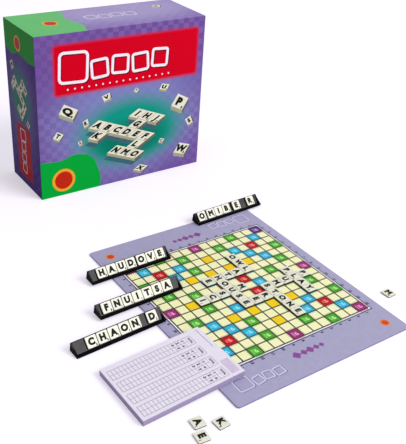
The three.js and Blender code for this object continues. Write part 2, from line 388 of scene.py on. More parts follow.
# %% Helpers that shape a mesh
def cuboid(bm, low, high):
    """A block between two corners in mm."""
    low, high = Vector(low), Vector(high)
    made = bmesh.ops.create_cube(bm, size=1)["verts"]
    bmesh.ops.scale(bm, verts=made, vec=high - low)
    bmesh.ops.translate(bm, verts=made, vec=(low + high) / 2)


def added_faces(bm, operator, **settings):
    """Runs an operator that makes faces, and gives back the new ones."""
    old = set(bm.faces)
    operator(bm, **settings)
    return [face for face in bm.faces if face not in old]


def flat_square(bm, side, matrix=Matrix.Identity(4)):
    """One square face on Z = 0, which a matrix may move or stretch."""
    return added_faces(
        bm, bmesh.ops.create_grid, x_segments=1, y_segments=1, size=side / 2, matrix=matrix
    )[0]


def inset_each(bm, faces, width):
    """Insets each face by a true width, and gives back the rings of new faces."""
    return bmesh.ops.inset_individual(
        bm, faces=faces, thickness=width, use_even_offset=True
    )["faces"]


def ease_edges(bm, edges, width, segments=2):
    """Rounds edges as a mould, a knife or a fold leaves them."""
    bmesh.ops.bevel(
        bm, geom=list(edges), offset=width, offset_type="OFFSET", affect="EDGES",
        segments=segments, profile=0.5, material=-1, clamp_overlap=True,
    )


def upright_edges(bm):
    """The edges that stand up, at a block's corners."""
    return [e for e in bm.edges if abs((e.verts[0].co - e.verts[1].co).normalized().z) > 0.9]


def rim_edges(bm):
    """Edges between a level face and an upright one."""
    return [
        e for e in bm.edges
        if len(e.link_faces) == 2
        and sorted(round(abs(f.normal.z)) for f in e.link_faces) == [0, 1]
    ]


trial = bmesh.new()
cuboid(trial, (0, 0, 0), (1, 1, 1))
print("a block has", len(upright_edges(trial)), "upright and", len(rim_edges(trial)), "rim edges")
trial.free()

# %% [markdown]
# ## Racks
# A rack is one black moulding: a slope that the tiles lean on, a ledge with a low lip that holds
# them, and a cheek at each end. The CAD solid has its true section, with the cored underside. A
# copy of it has its loose triangles joined, and its hard edges rounded to 0.3 mm, because a
# mould's edges are never sharp and those thin rounds catch the light. Slope and ridge are
# polished. The ledge and lip, which end below 5.2 mm, and all upright walls are etched.

# %% Racks from their CAD solids
WELD, FLAT_WITHIN, HARD_EDGE = 0.005, math.radians(1), math.radians(30)
RACK_EDGE, LEDGE_TOP, UPRIGHT = 0.3, 5.2, 0.3


def clean_copy(node):
    """A copy of a CAD node's mesh in mm, with its flat faces whole again."""
    bm = bmesh.new()
    bm.from_mesh(frame["nodes"][node].data)
    bmesh.ops.scale(bm, verts=bm.verts, vec=Vector((1, 1, 1)) / MM)
    bmesh.ops.remove_doubles(bm, verts=bm.verts, dist=WELD)
    bmesh.ops.dissolve_limit(bm, angle_limit=FLAT_WITHIN, verts=bm.verts, edges=bm.edges)
    return bm


for name in RACKS:
    bm = clean_copy(name)
    hard = [
        e for e in bm.edges
        if len(e.link_faces) == 2 and e.calc_face_angle() > HARD_EDGE and e.is_convex
    ]
    ease_edges(bm, hard, RACK_EDGE)
    for face in bm.faces:
        low = face.calc_center_median().z < LEDGE_TOP
        face.material_index = int(low or abs(face.normal.z) < UPRIGHT)
    print(len(hard), "edges rounded,", sum(f.material_index for f in bm.faces), "faces etched")
    set_down(bm, Matrix.Identity(4))
    finish_piece(
        f"{name}_moulding", bm, [black_polystyrene, etched_polystyrene], "set",
        [name], smooth=40,
    )

# %% [markdown]
# ## Letters
# A tile's letter and small value are pressed on in black foil. Each glyph is a text object made
# a mesh once and kept, so that every tile with that letter can copy it. A bevel all round makes
# the type bolder, as tile letters are, and closes it into a thin solid.

# %% Glyphs as closed flat meshes
INK_THICK, LETTER_WEIGHT, CURVE_STEPS, GLYPH_WELD = 0.03, 0.075, 6, 1e-4
glyph_store = {}


def measure_text(body):
    """A text made a mesh, one unit of type size tall, made bolder by a flat bevel round it."""
    curve = bpy.data.curves.new("type", "FONT")
    curve.body, curve.size, curve.resolution_u = body, 1, CURVE_STEPS
    curve.bevel_depth, curve.bevel_resolution = LETTER_WEIGHT, 0
    curve.align_x, curve.align_y = "CENTER", "BOTTOM_BASELINE"
    holder = bpy.data.objects.new("type", curve)
    mesh = bpy.data.meshes.new_from_object(holder)
    bpy.data.objects.remove(holder)
    bpy.data.curves.remove(curve)
    return mesh


cap_height = max(v.co.y for v in measure_text("H").vertices)


def glyph(body):
    """A glyph mesh with capitals 1 tall, its middle over X = 0 and its face at Z = 1."""
    if body not in glyph_store:
        mesh = measure_text(body)
        bm = bmesh.new()
        bm.from_mesh(mesh)
        bmesh.ops.remove_doubles(bm, verts=bm.verts, dist=GLYPH_WELD)
        bmesh.ops.recalc_face_normals(bm, faces=bm.faces)
        middle = sum(f(v.co.x for v in bm.verts) for f in (min, max)) / 2
        bmesh.ops.translate(bm, verts=bm.verts, vec=(-middle, 0, 0))
        unit = (1 / cap_height, 1 / cap_height, 1 / LETTER_WEIGHT)
        bmesh.ops.scale(bm, verts=bm.verts, vec=unit)
        bm.to_mesh(mesh)
        bm.free()
        glyph_store[body] = mesh
    return glyph_store[body]


def add_glyph(bm, body, matrix, material_index):
    """Copies a glyph into a bmesh, at a place and scale given by a matrix."""
    old_verts, old_faces = len(bm.verts), len(bm.faces)
    bm.from_mesh(glyph(body))
    bm.verts.ensure_lookup_table()
    bm.faces.ensure_lookup_table()
    bmesh.ops.transform(bm, matrix=matrix, verts=bm.verts[old_verts:])
    for face in bm.faces[old_faces:]:
        face.material_index = material_index
        face.smooth = False


def sized(x, y, z, tall, deep):
    """A matrix that sets a glyph at a place in mm, tall mm high and deep mm thick."""
    return Matrix.Translation((x, y, z)) @ Matrix.Diagonal((tall, tall, deep, 1))


print("capital height of the type:", round(cap_height, 3))

# %% [markdown]
# ## Letter tiles
# A tile is a moulded ivory square with clipped corners and eased edges. It starts as a block
# whose upright edges are bevelled first and then its rims, as a toolmaker cuts the mould. A
# level cut round its sides marks where the foot's painted shade begins. Tiles on a rack stand a
# little apart, as on the real one, and those on the board fill their squares.

# %% One tile, and a function that lays it down
TILE_SIDE, TILE_THICK, TILE_CORNER, TILE_EDGE, TILE_FOOT = 11.4, 2.0, 0.9, 0.36, 1.1
GAP_ON_RACK, GAP_ON_BOARD = 0.7, 0.1
LETTER_TALL, LETTER_LOW, LETTER_LEFT, VALUE_TALL, VALUE_IN = 6.3, 3.1, 0.3, 2.0, 1.2
VALUES = {letter: 1 for letter in "AEINORST"} | {letter: 2 for letter in "DLMUGC"}
VALUES |= {letter: 3 for letter in "BHKPWY"} | {letter: 5 for letter in "FVJQXZ"}


def blank_tile(gap):
    """A tile without its letter, less by gap than the place it stands in."""
    bm = bmesh.new()
    near, far = gap / 2, TILE_SIDE - gap / 2
    cuboid(bm, (near, near, 0), (far, far, TILE_THICK))
    ease_edges(bm, upright_edges(bm), TILE_CORNER, 3)
    ease_edges(bm, rim_edges(bm), TILE_EDGE)
    bmesh.ops.bisect_plane(
        bm, geom=bm.verts[:] + bm.edges[:] + bm.faces[:], plane_co=(0, 0, TILE_FOOT),
        plane_no=(0, 0, 1),
    )
    # Faces below the cut take the third material, olive black: painted shade at the tile's foot
    for face in bm.faces:
        face.material_index = 2 if face.calc_center_median().z < TILE_FOOT else 0
    mesh = bpy.data.meshes.new("blank_tile")
    bm.to_mesh(mesh)
    bm.free()
    return mesh


rack_blank, board_blank = blank_tile(GAP_ON_RACK), blank_tile(GAP_ON_BOARD)


def lay_tile(name, blank, letter, place, body, node):
    """A tile at a place in mm: its lower left back corner, with its face towards +Z."""
    bm = bmesh.new()
    bm.from_mesh(blank)
    middle = TILE_SIDE / 2 - LETTER_LEFT
    add_glyph(bm, letter, sized(middle, LETTER_LOW, TILE_THICK, LETTER_TALL, INK_THICK), 1)
    middle = TILE_SIDE - VALUE_IN - VALUE_TALL / 2
    value = sized(middle, VALUE_IN, TILE_THICK, VALUE_TALL, INK_THICK)
    add_glyph(bm, str(VALUES[letter]), value, 1)
    set_down(bm, place)
    finish_piece(
        f"{name}_{letter}", bm, [ivory_polystyrene, letter_ink, foot_shade_polystyrene], body,
        [node], smooth=30,
    )


print("blank tile:", len(rack_blank.polygons), "faces")

# %% [markdown]
# The board's words are laid for a player who sits at the left of the picture, so the tops of the
# letters point to +X. Words run away from that player's left and down their side.

# %% Tiles on the board and on the table
BOARD_LETTERS = "OWLEHTAOUSEICSMERSTONEMULPPAY"
QUARTER = math.radians(-90)
LOOSE_TILES = {"loose_tile_01": ("M", 2), "loose_tile_02": ("A", -3),
               "loose_tile_03": ("K", 3), "loose_tile_04": ("E", -6)}
flat_tiles = {
    f"board_tile_{i + 1:02d}": (letter, 0) for i, letter in enumerate(BOARD_LETTERS)
}
for node, (letter, turn) in (flat_tiles | LOOSE_TILES).items():
    low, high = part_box(node)
    middle = (low + high) / 2 / MM
    middle.z = low.z / MM
    turned = Matrix.Rotation(QUARTER + math.radians(turn), 4, "Z")
    back = Matrix.Translation((-TILE_SIDE / 2, -TILE_SIDE / 2, 0))
    place = Matrix.Translation(middle) @ turned @ back
    lay_tile(node, board_blank, letter, place, "set", node)
print(len(flat_tiles), "tiles on the board and", len(LOOSE_TILES), "loose ones")

# %% [markdown]
# On a rack, tiles that touch are one CAD solid, because they slide together. Each of them is a
# piece of its own here and rides on that solid's body, leaning on the slope at its angle.

# %% Tiles on the racks
RACK_LETTERS = {"rack_01": ["O", "MIB", "E", "R"], "rack_02": ["HAUD", "OVE"],
                "rack_03": ["FNUITSA"], "rack_04": ["CHAON", "D"]}
SEAT_ANGLE = math.radians(48)
for r, name in enumerate(RACKS):
    x_axis = rack_axes[name]
    y_axis = Vector((0, 0, 1)).cross(x_axis)
    z_axis = x_axis.cross(y_axis)
    seat = z_axis * math.cos(SEAT_ANGLE) - y_axis.normalized() * math.sin(SEAT_ANGLE)
    for run, letters in enumerate(RACK_LETTERS[name]):
        node = f"{name}_tiles_{run + 1:02d}"
        place, size = own_axes(node, x_axis, seat)
        spare = (size.x - len(letters) * TILE_SIDE) / 2
        for k, letter in enumerate(letters):
            step = Matrix.Translation((spare + k * TILE_SIDE, 0, 0))
            lay_tile(
                f"{node}_{k + 1}", rack_blank, letter, place @ step,
                f"tiles_{r + 1}_{run + 1}", node,
            )
        print(node, letters, "size", [round(v, 2) for v in size])

# %% [markdown]
# ## Board
# The board is 2 mm grey board, wrapped in a lavender print and lined below. Its corners are die
# cut round, so the block's upright edges get a wide bevel and its rims only a small one.

# %% Board card
BOARD_CORNER, BOARD_EDGE, CORNER_STEPS = 3.0, 0.25, 6
bm = bmesh.new()
cuboid(bm, board_low / MM, board_high / MM)
ease_edges(bm, upright_edges(bm), BOARD_CORNER, CORNER_STEPS)
ease_edges(bm, rim_edges(bm), BOARD_EDGE)
for face in bm.faces:
    face.material_index = 0 if face.normal.z > 0.9 else 2 if face.normal.z < -0.9 else 1
set_down(bm, Matrix.Identity(4))
finish_piece(
    "board_card", bm, [board_lavender, board_wrap_edge, lining_paper], "set",
    ["board"],
)
board_top = board_high.z / MM
print("board's top at", round(board_top, 2), "mm")

# %% [markdown]
# Its print is a grid of 15 squares a side, in cream with dark lines, framed by a white line. Real
# ink has no height, but two surfaces can't share a plane, so a print is a closed sheet a few
# hundredths of a millimetre thick. The frame is a large square, inset once for each of its
# lines. The lines are a net: a grid's squares, each inset by half a line and then taken out. The
# net lies on top, because the dark ink is printed last.

# %% Flat prints, and the grid of squares
CELL, SQUARES, SHEET = 12.0, 15, 0.03
LINE, WHITE_LINE, OUTER_LINE = 1.4, 1.4, 1.2
grid_place = Matrix.Translation(grid_middle / MM) @ Matrix.Translation((0, 0, board_top))
grid_half, MIDDLE = CELL * SQUARES / 2, (SQUARES - 1) / 2


def close_sheet(bm, thick=SHEET):
    """Gives flat faces a thickness: their fronts rise by thick."""
    skin = bmesh.ops.extrude_face_region(bm, geom=bm.faces[:], use_keep_orig=True)["geom"]
    raised = [g for g in skin if isinstance(g, bmesh.types.BMVert)]
    bmesh.ops.translate(bm, verts=raised, vec=(0, 0, thick))
    bmesh.ops.recalc_face_normals(bm, faces=bm.faces)


def finish_print(name, bm, inks, place=grid_place, body="set"):
    """Sets a print down and makes it a piece, with flat shading."""
    set_down(bm, place)
    finish_piece(name, bm, inks, body, smooth=0)


def spread(x, y, wide, tall):
    """A matrix that stretches a square of side 1 to a rectangle with its middle at x, y."""
    return Matrix.Translation((x, y, 0)) @ Matrix.Diagonal((wide, tall, 1, 1))


def ruled_net(bm, x, y, wide, tall, across, up, rule):
    """A net of ruled lines from a corner x, y: a grid's squares inset and taken out."""
    faces = added_faces(
        bm, bmesh.ops.create_grid, x_segments=across, y_segments=up, size=0.5,
        matrix=spread(x + wide / 2, y + tall / 2, wide, tall),
    )
    inset_each(bm, faces, rule / 2)
    bmesh.ops.delete(bm, geom=faces, context="FACES")


bm = bmesh.new()
bmesh.ops.create_grid(bm, x_segments=SQUARES, y_segments=SQUARES, size=grid_half)
frame_widths = ((OUTER_LINE, 3), (WHITE_LINE, 2), (LINE / 2, 1))
inner = flat_square(bm, 2 * (grid_half + sum(width for width, _ in frame_widths)))
for width, index in frame_widths:
    for face in inset_each(bm, [inner], width):
        face.material_index = index
bmesh.ops.delete(bm, geom=[inner], context="FACES_ONLY")
close_sheet(bm)
finish_print("board_squares", bm, [square_cream, grid_line, frame_white, frame_violet])
bm = bmesh.new()
ruled_net(bm, -grid_half, -grid_half, 2 * grid_half, 2 * grid_half, SQUARES, SQUARES, LINE)
close_sheet(bm, 2 * SHEET)
finish_print("board_lines", bm, [grid_line], grid_place @ Matrix.Translation((0, 0, SHEET)))

# %% [markdown]
# ## Bonus squares
# A bonus square is a patch of colour under the lines, with a saw-toothed rim that reaches past
# them. The teeth are every second point of a subdivided square, pushed out. All but the yellow
# ones have teeth, and a multiplier over as many small squares, in a pale tint of their own
# colour. Teeth of neighbours may cross, so each colour lies a hair above the one before. A
# quarter of the layout is written down and mirrored both ways.

# %% Bonus squares
TEETH, TOOTH, BONUS_SIDE, LAYER = 5, 3.4, 10.7, 0.002
MULTIPLIER = {"M": 3, "P": 3, "R": 2, "B": 2, "G": 3, "Y": 0}
BONUS_QUARTER = [
    "M..G...M",
    ".B...G..",
    "..R.B..Y",
    "G..B.G..",
    "..B.Y.Y.",
    ".G...B.B",
    "...G..R.",
    "M.Y..B..",
]
PURPLE_CORNER = (SQUARES - 1, 0)
LABEL_TALL, LABEL_LOW, DOT_SIDE, DOT_STEP, DOT_LOW = 3.4, -0.4, 1.3, 2.0, -2.6


def bonus_at(column, row):
    """The bonus colour of a square: the quarter pattern is mirrored both ways."""
    code = BONUS_QUARTER[min(row, SQUARES - 1 - row)][min(column, SQUARES - 1 - column)]
    return "P" if (column, row) == PURPLE_CORNER else code


def saw_patch(bm, matrix, material_index, tooth):
    """A flat square whose sides are cut into teeth of that length."""
    half = BONUS_SIDE / 2
    face = flat_square(bm, BONUS_SIDE)
    bmesh.ops.subdivide_edges(bm, edges=face.edges[:], cuts=2 * TEETH - 1)
    for vert in face.verts:
        x, y = vert.co.x, vert.co.y
        along, out = (y, Vector((x, 0, 0))) if abs(x) > half - 0.01 else (x, Vector((0, y, 0)))
        if round((along + half) * TEETH * 2 / BONUS_SIDE) % 2:
            vert.co += out.normalized() * tooth
    face.material_index = material_index
    bmesh.ops.transform(bm, matrix=matrix, verts=list(face.verts))


codes = sorted(MULTIPLIER)
patches, marks, labels = bmesh.new(), bmesh.new(), []
for row in range(SQUARES):
    for column in range(SQUARES):
        code = bonus_at(column, row)
        if code not in MULTIPLIER:
            continue
        times, ink = MULTIPLIER[code], codes.index(code)
        spot = Matrix.Translation(
            ((column - MIDDLE) * CELL, (MIDDLE - row) * CELL, SHEET + ink * LAYER)
        )
        saw_patch(patches, spot, ink, TOOTH if times else 0)
        turned = spot @ Matrix.Rotation(QUARTER, 4, "Z")
        if times:
            place = turned @ sized(0, LABEL_LOW, SHEET, LABEL_TALL, SHEET)
            labels.append((f"x{times}", place, ink))
        for k in range(times):
            dot = Matrix.Translation(((k - (times - 1) / 2) * DOT_STEP, DOT_LOW, SHEET))
            flat_square(marks, DOT_SIDE, turned @ dot).material_index = ink
print(len(patches.faces), "bonus squares")
close_sheet(patches)
close_sheet(marks)
for label, place, ink in labels:
    add_glyph(marks, label, place, ink)
finish_print("board_bonus_squares", patches, [bonus_prints[code] for code in codes])
finish_print("board_multipliers", marks, [mark_prints[code] for code in codes])

# %% [markdown]
# Numbers from 1 to 15 run along each side of the grid, so that a square can be named. They are
# turned like the tiles' letters, to be read from the same seat.

# %% Numbers round the grid
NUMBER_TALL, NUMBER_OUT = 3.0, 5.2
bm = bmesh.new()
reach = grid_half + NUMBER_OUT
for i in range(SQUARES):
    along = (i - MIDDLE) * CELL
    for x, y, count in (
        (along, reach, SQUARES - i), (along, -reach, SQUARES - i),
        (reach, -along, i + 1), (-reach, -along, i + 1),
    ):
        spot = Matrix.Translation((x, y, 0)) @ Matrix.Rotation(QUARTER, 4, "Z")
        add_glyph(bm, str(count), spot @ sized(0, -NUMBER_TALL / 2, 0, NUMBER_TALL, SHEET), 0)
finish_print("board_numbers", bm, [number_ink])

# %% [markdown]
# ## Ornament
# The wide margins hold a plain ornament: empty tile outlines with a darker shade beside them, a
# row of plum diamonds and a round spot in two colours. An outline is a square with bevelled
# corners, inset by its stroke, of which only the ring stays. The far margin is the near one,
# turned half round, so that players at both ends see the same.

# %% Outlines, spots and their inks
# The board's offset inks in the ornament's colours: as flat and calm as its ground
ornament_prints = [
    printed_paper(f"{name}_print", ink, shade)
    for name, ink, shade in (
        ("pale_ornament", "#DCD8F2", "#D3CEEC"), ("ornament_shade", "#7F77AC", "#766EA3"),
        ("plum_ornament", "#8F4A9C", "#864293"), ("orange_disc", "#F08A3C", "#E87F31"),
        ("vermilion_disc", "#D9441F", "#CF3D1A"),
    )
]
PALE, SHADE, PLUM, ORANGE, VERMILION = range(5)
ROUND_STEPS, DISC_STEPS = 5, 32


def rounded_square(bm, x, y, side, index, stroke=0, turn=0, height=0.0, roundness=0.18):
    """A flat square with round corners, or its outline where a stroke width is given."""
    face = flat_square(bm, side)
    old = set(bm.faces) - {face}
    bmesh.ops.bevel(
        bm, geom=face.verts[:], offset=side * roundness, offset_type="OFFSET",
        affect="VERTICES", segments=ROUND_STEPS, profile=0.5, material=-1,
    )
    parts = [f for f in bm.faces if f not in old]
    if stroke:
        ring = inset_each(bm, parts, stroke)
        bmesh.ops.delete(bm, geom=parts, context="FACES_ONLY")
        parts = ring
    for part in parts:
        part.material_index = index
    matrix = Matrix.Translation((x, y, height)) @ Matrix.Rotation(math.radians(turn), 4, "Z")
    bmesh.ops.transform(bm, matrix=matrix, verts=list({v for f in parts for v in f.verts}))


def disc(bm, x, y, radius, index, height=0.0):
    """A flat round spot."""
    face = added_faces(
        bm, bmesh.ops.create_circle, cap_ends=True, segments=DISC_STEPS, radius=radius
    )[0]
    face.material_index = index
    bmesh.ops.translate(bm, verts=face.verts[:], vec=(x, y, height))


print("ornament inks:", len(ornament_prints))

# %% The margins' ornament, the same from both ends of the board
# Each outline is its middle across, its middle up, its side in mm and its turn in degrees
OUTLINES = [(-83.5, -112.5, 16.5, 0), (-68.5, -115.0, 10.5, 8), (-57.0, -114.2, 10.5, -6),
            (-45.5, -115.0, 10.5, 4)]
PALE_STROKE, SHADE_STROKE, SHADE_FALL = 1.4, 1.5, 0.7
# Each diamond is its middle across and its side
DIAMONDS = [(-19.0, 7.0), (-10.5, 5.4), (-3.0, 6.4), (4.5, 5.0), (11.0, 4.2)]
DIAMONDS_UP, DIAMOND_ROUND = -108.0, 0.1
SPOT_ACROSS, SPOT_UP, SPOT_RADII = 87.5, -115.5, (4.9, 3.4)
near = bmesh.new()
for x, y, side, turn in OUTLINES:
    rounded_square(near, x + SHADE_FALL, y - SHADE_FALL, side, SHADE, SHADE_STROKE, turn)
    rounded_square(near, x, y, side, PALE, PALE_STROKE, turn, height=SHEET)
for x, side in DIAMONDS:
    rounded_square(near, x, DIAMONDS_UP, side, PLUM, turn=45, roundness=DIAMOND_ROUND)
disc(near, SPOT_ACROSS, SPOT_UP, SPOT_RADII[0], ORANGE)
disc(near, SPOT_ACROSS, SPOT_UP, SPOT_RADII[1], VERMILION, height=SHEET)
close_sheet(near)
far = near.copy()
for bm, half_turn, end in ((near, 0, "near"), (far, math.pi, "far")):
    turned = grid_place @ Matrix.Rotation(half_turn, 4, "Z")
    finish_print(f"board_ornament_{end}", bm, ornament_prints, turned)

# %% [markdown]
# ## Score pad
# The pad is a block of lavender sheets, gummed together at its right edge on a grey card. The
# cut edges of the sheets show as fine stripes. A sheet is 0.1 mm thick, too thin to show, so a
# stripe is drawn 0.45 mm high. The top leaf is a piece of its own, because it lifts.

# %% Paper, its cut edges, gum and card
STRIPE, STRIPE_DEPTH = 0.45, 0.05
# Writing paper: pale, dull and fine in grain. Its inks sink in, so they are as dull
pad_paper = printed_paper("lavender_writing_paper", "#F4EFFD", "#EFE9FA", 0.85, 0.4, 0.01)
ruling_ink = printed_paper("grey_violet_ruling", "#ABA2BF", "#A299B7", 0.8)
form_ink = printed_paper("dark_form_print", "#3F3857", "#383150", 0.7)
form_tint = printed_paper("pale_plum_form_print", "#DFD1EA", "#D6C6E3", 0.8)
# Dried gum: smoother than paper, with a lumpy skin
pad_gum = printed_paper("dried_padding_gum", "#D8CFE9", "#CBC0DF", 0.4, 1.5, 0.08)
# Raw grey board: the dullest, with coarse fibres
grey_card = printed_paper("grey_board", "#A8A1B2", "#958E9F", 0.9, 1.2, 0.05)
# Cut edges: level stripes, broken up by a little noise. Their violet, much darker than the
# paper's, is painted shade
pad_edge, tree, shader, place = start_material("cut_paper_edges_painted_shade", "#B3A6CA", 0.85, specular=0.2)
stripes = add_node(
    tree, "TexWave",
    {"Vector": place, "Scale": math.pi / (10 * STRIPE * MM), "Distortion": 1.5, "Detail": 3,
     "Detail Scale": 0.4},
    bands_direction="Z",
)
dress(tree, shader, "#9A8DB3", [(stripes, "#B3A6CA")], relief=stripes, depth=STRIPE_DEPTH)
print("pad materials:", pad_paper.name, pad_edge.name, pad_gum.name, grey_card.name)

# %% [markdown]
# Card, block and leaf are slabs with hardly eased edges, since paper is cut square. They lean on
# the board's edge, so their up direction is taken from the CAD card's top face.

# %% Backing, block and top leaf
hinge = slides["top_leaf_turn"]
backing_faces = frame["nodes"]["pad_backing"].data.polygons
pad_up = max(backing_faces, key=lambda f: f.normal.z).normal.copy()
pad_x = hinge.cross(pad_up)
PAD_EASE = 0.12


def pad_slab(name, node, body, materials):
    """A slab: its top and bottom in the first material, its right edge in the last."""
    place, size = own_axes(node, pad_x, pad_up)
    bm = bmesh.new()
    cuboid(bm, (0, 0, 0), size)
    ease_edges(bm, bm.edges[:], min(PAD_EASE, size.z / 4), 1)
    for face in bm.faces:
        side = len(materials) - 1 if face.normal.x > 0.5 else 1
        face.material_index = 0 if abs(face.normal.z) > 0.5 else side
    set_down(bm, place)
    finish_piece(name, bm, materials, body, [node])
    print(name, "is", [round(v, 2) for v in size], "mm")
    return place @ Matrix.Translation((0, 0, size.z))


pad_slab("pad_card", "pad_backing", "set", [grey_card, grey_card])
paper_and_gum = [pad_paper, pad_edge, pad_gum]
block_top = pad_slab("pad_sheets", "pad_block", "set", paper_and_gum)
leaf_top = pad_slab("pad_leaf", "pad_top_leaf", "top_leaf", paper_and_gum)

# %% [markdown]
# The form on each leaf is four groups of two rows of boxes, with numbered heads and a wide box
# at the end. The boxes are nets, as the board's lines are, and a heavier net frames each group.
# The block has its own print, which shows when the top leaf is lifted.

# %% The printed form
GROUPS, GROUP_STEP, GROUP_START, BOXES, BOX_WIDE, BOX_TALL = 4, 16.2, 3.2, 22, 3.65, 6.1
FORM_LEFT, HEAD_WIDE, RULE, FRAME_RULE = 3.2, 5.6, 0.42, 0.9
# The numbers' places, counted in boxes from the group's right end
NUMBERS, PER_ROW, NUMBER_FIRST, NUMBER_STEP, ROW_SHIFT = 5, 3, 1.1, 1.4, 0.7
WORD_TALL, DIGIT_TALL, FORM_THICK, WORD_THICK = 1.9, 2.6, 0.02, 0.03
# A line and a tinted box at the pad's right: middle across, middle up, width and height
MARGIN_LINE, TINTED_BOX = (98.6, 54, 0.7, 27), (95.8, 12.2, 8.4, 18.4)


def printed_form():
    """The form in mm, flat at Z = 0, its lines 0, dark print 1 and tint 2."""
    bm = bmesh.new()
    captions = []
    head = FORM_LEFT + BOXES * BOX_WIDE
    for group in range(GROUPS):
        low = GROUP_START + group * GROUP_STEP
        tall = 2 * BOX_TALL
        ruled_net(bm, FORM_LEFT, low, head - FORM_LEFT, tall, BOXES, 2, RULE)
        ruled_net(bm, FORM_LEFT, low, head + HEAD_WIDE - FORM_LEFT, tall, 1, 1, FRAME_RULE)
        captions.append(("TOTAL", WORD_TALL, head + HEAD_WIDE / 2, low + BOX_TALL))
        for k in range(NUMBERS):
            row, column = divmod(k, PER_ROW)
            x = head - (NUMBER_FIRST + column * NUMBER_STEP + row * ROW_SHIFT) * BOX_WIDE
            captions.append((str(k + 1), DIGIT_TALL, x, low + (1.5 - row) * BOX_TALL))
    flat_square(bm, 1, spread(*MARGIN_LINE))
    flat_square(bm, 1, spread(*TINTED_BOX)).material_index = 2
    close_sheet(bm, FORM_THICK)
    for words, tall, x, y in captions:
        spot = Matrix.Translation((x, y, 0)) @ Matrix.Rotation(QUARTER, 4, "Z")
        add_glyph(bm, words, spot @ sized(0, -tall / 2, 0, tall, WORD_THICK), 1)
    return bm


for name, place, body in (
    ("pad_sheets_form", block_top, "set"), ("pad_leaf_form", leaf_top, "top_leaf"),
):
    inks = [ruling_ink, form_ink, form_tint]
    finish_print(name, printed_form(), inks, place, body)

# %% [markdown]
# ## Box
# The box is rigid grey board: a lid as deep as the box, over a tray. The lid is wrapped in one
# printed and film-laminated sheet, so its print runs round the edges, under a soft matt film.
# The print is violet with a faint chequer, a soft-edged red panel, a green corner with a wavy
# rim and a teal glow. Each is a mask worked out from the distance in millimetres, which stays
# crisp at any size, where a picture would blur. The chequer's squares are 7.4 mm.

# %% Masks in millimetres on a face of the box
CHEQUER, WAVE_LENGTH = 7.4, 34.0


def face_mm(tree, place, across, up):
    """A place on a face in mm. across and up are an axis, a sign and where the count starts."""
    scale, start = [0, 0, 0], [0, 0, 0]
    for axis, sign, origin in (across, up):
        scale[axis], start[axis] = sign / MM, -sign * origin
    in_mm = add_node(tree, "Mapping", {"Vector": place, "Location": start, "Scale": scale})
    parts = add_node(tree, "SeparateXYZ", {0: in_mm}).node.outputs
    return add_node(tree, "CombineXYZ", {0: parts[across[0]], 1: parts[up[0]]})


def mask(tree, flat, centre, inner, scale, full, gone, wave=0):
    """1 up to the distance full from an inner rectangle about centre, and 0 from gone on."""
    value = add_node(
        tree, "TexNoise", {"Vector": flat, "Scale": 1 / WAVE_LENGTH, "Detail": 0}, out="Color"
    )
    for operation, by in (
        ("SUBTRACT", {1: (0.5, 0.5, 0.5)}),  # a ripple about zero
        ("MULTIPLY_ADD", {1: (wave, wave, 0), 2: flat}),  # moves each place by up to wave mm
        ("SUBTRACT", {1: (*centre, 0)}),  # which is then counted from the centre
        ("ABSOLUTE", {}),  # the same to all four sides
        ("SUBTRACT", {1: (*inner, 0)}),  # from the inner rectangle on
        ("MAXIMUM", {1: (0, 0, 0)}),  # and 0 inside it
        ("MULTIPLY", {1: (*scale, 0)}),  # an oval has its own scale each way
    ):
        value = add_node(tree, "VectorMath", {0: value, **by}, operation=operation)
    away = add_node(tree, "VectorMath", {0: value}, out="Value", operation="LENGTH")
    return add_node(
        tree, "MapRange", {0: away, 1: full, 2: gone, 3: 1, 4: 0},
        interpolation_type="SMOOTHSTEP",
    )


def glow(centre, half, full=0.3):
    """An oval that is full up to that share of its half size, and then fades."""
    return centre, (0, 0), (1 / half[0], 1 / half[1]), full, 1.0


def panel(centre, half, corner, soft, wave=0):
    """A rectangle with round corners, whose rim fades over soft mm to each side."""
    inner = (half[0] - corner, half[1] - corner)
    return centre, inner, (1, 1), corner - soft, corner + soft, wave


lid_low, lid_high = (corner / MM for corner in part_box("box_lid"))
print("lid is", [round(v, 1) for v in lid_high - lid_low], "mm")

# %% [markdown]
# Each face of the lid has its own material, which counts from that face's lower left corner. Its
# ground is three violets: the colour, how it looks where the print is lightest, and the
# chequer's pale squares. The left side's colours are painted much darker, as painted shade, and
# the top's paler, as painted light. The film has waves of 1.6 mm, from the glue under it, and
# patches of 12 mm that hands have polished.

# %% Print of each face of the lid
CHEQUER_PATCH, CHEQUER_FAINT, CHEQUER_CLEAR = 45, 0.02, 0.22
FILM_ROUGH, FILM_PATCH, FILM_WAVE, FILM_DEPTH = 0.36, 12, 1.6, 0.01


def cover_print(name, across, up, ground, light, patches):
    """Print under matt film: deep, even colour that hardly shines."""
    material, tree, shader, place = start_material(name, ground[0], FILM_ROUGH, specular=0.02)
    flat = face_mm(tree, place, across, up)
    squares = add_node(tree, "TexChecker", {"Vector": flat, "Scale": 1 / CHEQUER}, out="Fac")
    clear = grain(tree, place, CHEQUER_PATCH, CHEQUER_FAINT, CHEQUER_CLEAR)
    chequer = add_node(tree, "Math", {0: squares, 1: clear}, operation="MULTIPLY")
    layers = [(mask(tree, flat, *light), ground[1]), (chequer, ground[2])]
    layers += [(mask(tree, flat, *shape), ink) for ink, shape in patches]
    gloss = grain(tree, place, FILM_PATCH, FILM_ROUGH - 0.08, FILM_ROUGH + 0.06)
    waves = grain(tree, place, FILM_WAVE, 0, 1)
    dress(tree, shader, ground[0], layers, gloss, waves, FILM_DEPTH)
    return material


